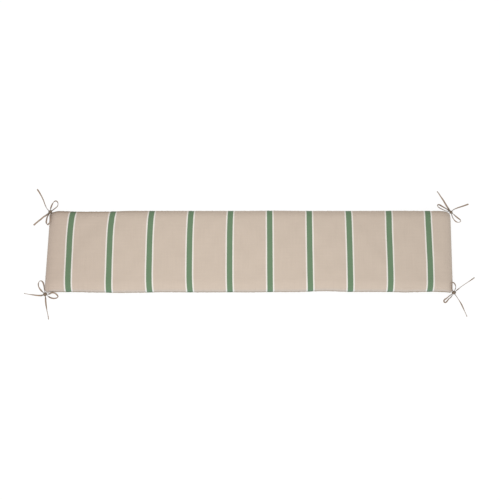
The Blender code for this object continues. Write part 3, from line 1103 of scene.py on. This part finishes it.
@dataclass
class TieStrip:
    """One loop or tail of a bow: a flat strip, folded and stitched, along its own route."""

    name: str
    kind: StripKind
    route: tuple[RoutePoint, ...]
    width: float = 0.006
    thickness: float = 0.002
    spacing: float = 0.0012
    around: int = 28
    knot_gap: float = 0.0009
    knot_lean: float = 5.0
    hem_length: float = 0.004
    hem_edge: float = 0.0008
    hem_swell: float = 0.35
    off_ground: float = 0.0002
    # How far from the knot the painted knot shade reaches.
    knot_shade_reach: float = 0.013

    def to_middle(self, leans: Floats) -> Floats:
        """The moves from the strip's lowest edge up to its middle line.

        Each is half of the thickness, and half of what the width is more than it times the lean's
        cosine.

        Args:
            leans: The leans in radians.

        Returns:
            One move for each lean.
        """
        rise = ((self.width - self.thickness) * np.cos(leans) + self.thickness) / 2
        return np.stack([np.zeros_like(rise), np.zeros_like(rise), rise], axis=-1)

    def centreline(self, knot: Knot) -> tuple[Floats, Floats]:
        """Points and leans along a smooth curve through the route's points.

        Between two points the curve is a cubic whose ends point along the line between the
        neighbours on both sides. It is drawn along the strip's lowest edge and then raised to the
        middle line. It starts at the knot's face, and a loop also ends there.

        Args:
            knot: The bow's knot.

        Returns:
            The points, and the lean at each in radians.
        """
        places = np.array([[point.x, point.y, point.under] for point in self.route]) * MILLIMETRE
        leans = np.radians([point.lean for point in self.route])
        middles = places + self.to_middle(leans)
        knot_lean = np.radians([self.knot_lean])
        first = knot.face_towards(middles[0], self.knot_gap) - self.to_middle(knot_lean)
        places = np.vstack([first, places])
        leans = np.concatenate([knot_lean, leans])
        if self.kind is StripKind.LOOP:
            last = knot.face_towards(middles[-1], self.knot_gap) - self.to_middle(knot_lean)
            places = np.vstack([places, last])
            leans = np.concatenate([leans, knot_lean])
        padded = np.vstack([2 * places[0] - places[1], places, 2 * places[-1] - places[-2]])
        pieces, turns = [], []
        for index in range(len(places) - 1):
            before, start, end, after = padded[index:index + 4]
            steps = max(2, round(float(np.linalg.norm(end - start)) / self.spacing))
            share = np.arange(steps)[:, None] / steps
            near, far = start + (end - before) / 6, end - (after - start) / 6
            rest = 1.0 - share
            pieces.append(rest**3 * start + 3 * rest**2 * share * near
                          + 3 * rest * share**2 * far + share**3 * end)
            turns.append(leans[index] + (leans[index + 1] - leans[index]) * share[:, 0])
        all_leans = np.concatenate([*turns, leans[-1:]])
        lowest = np.vstack([*pieces, places[-1:]]) + np.array([0.0, MOVED_BACK, 0.0])
        return lowest + self.to_middle(all_leans), all_leans

    def section(self, count: int) -> Floats:
        """The strip's cross-section: an ellipse with its corners filled out, over even angles.

        The share of the half width is the root of the cosine's size, and the share of the half
        thickness the 0.7th power of the sine's, each with its own sign.

        Args:
            count: How many points go round.

        Returns:
            Shares of the half width and the half thickness.
        """
        angle = np.linspace(0.0, 2.0 * math.pi, count, endpoint=False)
        wide = np.sign(np.cos(angle)) * np.abs(np.cos(angle)) ** 0.5
        thick = np.sign(np.sin(angle)) * np.abs(np.sin(angle)) ** 0.7
        return np.stack([wide, thick], axis=-1)

    def build(self, knot: Knot, finish: bpy.types.Material, with_knot: Thing | None) -> Thing:
        """At each point of the line the section stands on two directions: upright with the tangent's
        part taken off, and the tangent crossed with that, both turned about the tangent by the lean.

        Args:
            knot: The bow's knot.
            finish: The ties' material.
            with_knot: Not used.

        Returns:
            The strip.
        """
        line, leans = self.centreline(knot)
        tangents = np.gradient(line, axis=0)
        tangents /= np.linalg.norm(tangents, axis=1, keepdims=True)
        upright = np.array([0.0, 0.0, 1.0]) - tangents * tangents[:, 2:3]
        upright /= np.linalg.norm(upright, axis=1, keepdims=True)
        level = np.cross(tangents, upright)
        wide = upright * np.cos(leans)[:, None] + level * np.sin(leans)[:, None]
        thin = np.cross(tangents, wide)
        run = np.concatenate([[0.0], np.cumsum(np.linalg.norm(np.diff(line, axis=0), axis=1))])
        length = float(run[-1])
        half_thick = np.full(len(line), self.thickness / 2)
        if self.kind is StripKind.TAIL:
            in_hem = smooth_step((run - (length - self.hem_length)) / self.hem_edge)
            half_thick = half_thick * (1.0 + self.hem_swell * in_hem)
        section = self.section(self.around)
        rings = (line[:, None, :]
                 + wide[:, None, :] * (section[None, :, 0:1] * self.width / 2)
                 + thin[:, None, :] * (section[None, :, 1:2] * half_thick[:, None, None]))
        rings[..., 2] = np.maximum(rings[..., 2], self.off_ground)
        across = np.broadcast_to(section[None, :, 0] * self.width / 2, rings.shape[:2])
        along = np.broadcast_to(run[:, None], rings.shape[:2])
        strip = capped_tube(f"strip_{self.name}", rings, line[[0, -1]], np.stack([across, along], axis=-1),
                            np.array([[0.0, 0.0], [0.0, length]]))
        # Painted shade near the knot: a bell of the distance along the strip from the knot.
        from_knot = np.minimum(run, length - run) if self.kind is StripKind.LOOP else run
        pulled = np.exp(-((from_knot / self.knot_shade_reach) ** 2))
        shares = np.concatenate([np.repeat(pulled, self.around), pulled[[0, -1]]])
        store_share(strip, "painted_knot_shade", shares)
        strip.data.materials.append(finish)
        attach(strip, "root")
        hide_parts(f"tie_{self.name}")
        log.info("%s: %.0f mm long", strip.name, length / MILLIMETRE)
        return strip


def route(*rows: tuple[float, float, float, float]) -> tuple[RoutePoint, ...]:
    """Makes a route from rows of x, y, height under the strip and lean."""
    return tuple(RoutePoint(*row) for row in rows)


@dataclass
class CornerBow:
    """The bow at one corner: its knot, two tails and two loops."""

    knot: Knot
    tails: tuple[tuple[RoutePoint, ...], tuple[RoutePoint, ...]]
    loops: tuple[tuple[RoutePoint, ...], tuple[RoutePoint, ...]]

    def build(self, finish: bpy.types.Material) -> None:
        """Makes the knot and then its four strips.

        Args:
            finish: The ties' material.
        """
        corner = self.knot.corner.value
        knot_piece = self.knot.build(finish)
        for number, points in enumerate(self.tails, start=1):
            strip = TieStrip(f"{corner}_tail_{number}", StripKind.TAIL, points)
            strip.build(self.knot, finish, knot_piece if number == 1 else None)
        for number, points in enumerate(self.loops, start=1):
            TieStrip(f"{corner}_loop_{number}", StripKind.LOOP, points).build(self.knot, finish, None)


def corner_bows() -> tuple[CornerBow, ...]:
    """The four bows, laid out as the photographed ones lie.

    Returns:
        One bow for each corner.
    """
    back_left = CornerBow(
        knot=Knot(Corner.BACK_LEFT, x=-759.5, y=156.0, z=27.5, half_length=8.5, half_width=7.0,
                  half_height=6.0, turn=60.0),
        tails=(
            route((-775.3, 175.3, 10.6, 0), (-784.3, 193.3, 1.8, 25), (-792.3, 213.3, 0.3, 35),
                  (-801.3, 231.3, 0.3, 38), (-811.3, 248.3, 0.3, 58), (-818.3, 258.3, 0.5, 45)),
            route((-776.8, 148.4, 9.6, 45), (-787, 144.6, 2.5, 38), (-799.1, 134.8, 0.3, 65),
                  (-810.2, 125, 0.4, 45), (-824.3, 111.3, 0.5, 60)),
        ),
        loops=(
            route((-759, 180, 14.7, 80), (-756, 198, 3.7, 55), (-751, 207, 0.3, 0), (-744, 210, 0.4, -20),
                  (-737, 205, 0.4, -30), (-735, 195, 1.4, 0), (-737, 186, 4.5, -2), (-744, 175, 12.4, 3)),
            route((-771, 139, 16.4, 30), (-775, 130, 7.4, 50), (-776, 121, 5.5, 60), (-772, 112, 9.5, 5),
                  (-767, 106.5, 20.5, -10), (-761, 105.5, 35.5, -10), (-756.3, 111, 43, 45),
                  (-755.5, 124, 43.4, 66), (-757.5, 137, 37, 62)),
        ),
    )
    front_left = CornerBow(
        knot=Knot(Corner.FRONT_LEFT, x=-764.5, y=-166.3, z=13.0, half_length=8.2, half_width=7.4,
                  half_height=6.0, turn=75.0),
        tails=(
            route((-781, -169, 2.6, 60), (-795, -168, 0.3, 40), (-812, -166, 0.5, 25),
                  (-827, -164, 0.5, -17), (-845, -160, 0.5, -15)),
            route((-763.5, -182, 1.2, 55), (-762.5, -194, 0.3, 70), (-760, -208, 0.3, 48),
                  (-757, -223, 0.3, 14), (-753, -239, 0.3, 0), (-750, -251, 0.5, 14),
                  (-748.3, -261, 0.5, 5)),
        ),
        loops=(
            route((-768.5, -145, 9.9, 35), (-772, -129, 5.1, 70), (-777, -117, 1.3, 68),
                  (-784, -111, 0.4, 5), (-791, -114, 0.4, -15), (-794, -123, 0.4, -50),
                  (-791, -136, 1.4, -25), (-782, -149, 4.4, -70)),
            route((-749, -166, 12, -30), (-741, -164.7, 20, -30), (-733, -164.2, 21.5, -32),
                  (-727, -164.6, 17, -34), (-721.5, -167, 8, -50), (-718, -171, 1.5, -42),
                  (-718.5, -175, 0.4, -38), (-724, -178.5, 0.4, -52), (-735, -179.5, 1.1, -68),
                  (-747, -176.5, 3.4, -72)),
        ),
    )
    back_right = CornerBow(
        knot=Knot(Corner.BACK_RIGHT, x=769.3, y=158.9, z=18.0, half_length=7.5, half_width=6.0,
                  half_height=6.0, turn=-45.0),
        tails=(
            route((761, 177, 8.4, 60), (754, 194, 2.3, 72), (746, 211, 0.5, 52), (737, 226, 0.3, 22),
                  (729, 240, 0.5, 10), (723, 249, 0.5, 0)),
            route((781.8, 173, 5.5, 33), (796.4, 181, 1.5, 52), (812, 187, 0.3, 62), (826, 192, 0.4, 75),
                  (840.8, 197.6, 0.5, 78)),
        ),
        loops=(
            route((753, 173.5, 12.4, 8), (744, 182, 6.4, 14), (734, 191, 1.9, 50), (727, 195, 0.7, 20),
                  (722, 193, 0.4, 24), (724, 186, 0.7, 38), (733, 178, 3.4, 52), (743, 170.5, 8.4, 40),
                  (752, 165.5, 11.4, 25)),
            route((783, 150.5, 6.9, 50), (795, 142, 2.4, 75), (804, 135, 1, 60), (808, 129, 0.4, 12),
                  (805, 125, 0.4, -12), (797.5, 122.5, 0.4, -20), (788.5, 126.5, 0.4, 20),
                  (781, 134, 2.4, 0), (776, 142, 5.4, 0)),
        ),
    )
    front_right = CornerBow(
        knot=Knot(Corner.FRONT_RIGHT, x=764.5, y=-160.8, z=15.0, half_length=8.5, half_width=6.5,
                  half_height=6.0, turn=10.0),
        tails=(
            route((781, -146, 3.4, 38), (794, -135, 0.6, 4), (808, -125, 0.3, 8), (823, -115, 0.3, 14),
                  (836, -106, 0.3, 40), (847, -98, 0.5, 32)),
            route((777.8, -177.1, 2.4, 15), (785.7, -189.1, 0.3, 30), (792.6, -202.2, 0.3, 60),
                  (798.5, -217.2, 0.3, 52), (804.4, -233.3, 0.3, 12), (810.6, -250.2, 0.5, 4)),
        ),
        loops=(
            route((755.5, -151, 26.4, 5), (754, -144, 35.5, 0), (753, -137, 40.5, 5),
                  (757, -130, 38.5, -4), (763, -127, 27.5, -5), (769, -129, 17.5, -12),
                  (773, -135, 9.5, 0), (772, -143, 9.4, 20)),
            route((749, -170.5, 4, 16), (743, -175.5, 1.5, 18), (736.5, -180.5, 0.3, 28),
                  (730.5, -184.5, 0.3, 45), (727.5, -190, 0.3, 58), (730, -195, 0.3, 62),
                  (736, -194, 0.3, 60), (741.5, -187.5, 0.3, 50), (747, -181, 1.2, 32),
                  (753.5, -176.5, 4, 30)),
        ),
    )
    return back_left, front_left, back_right, front_right


def main() -> None:
    """Makes the camera, the bows, the cushion and the studio."""
    logging.basicConfig(level=logging.INFO, format="%(name)s: %(message)s")
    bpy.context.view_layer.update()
    StudioCamera().build()
    tie_finish = TieCloth().material()
    for bow in corner_bows():
        bow.build(tie_finish)
    Cushion().build()
    Studio().build()


if __name__ == "__main__":
    main()
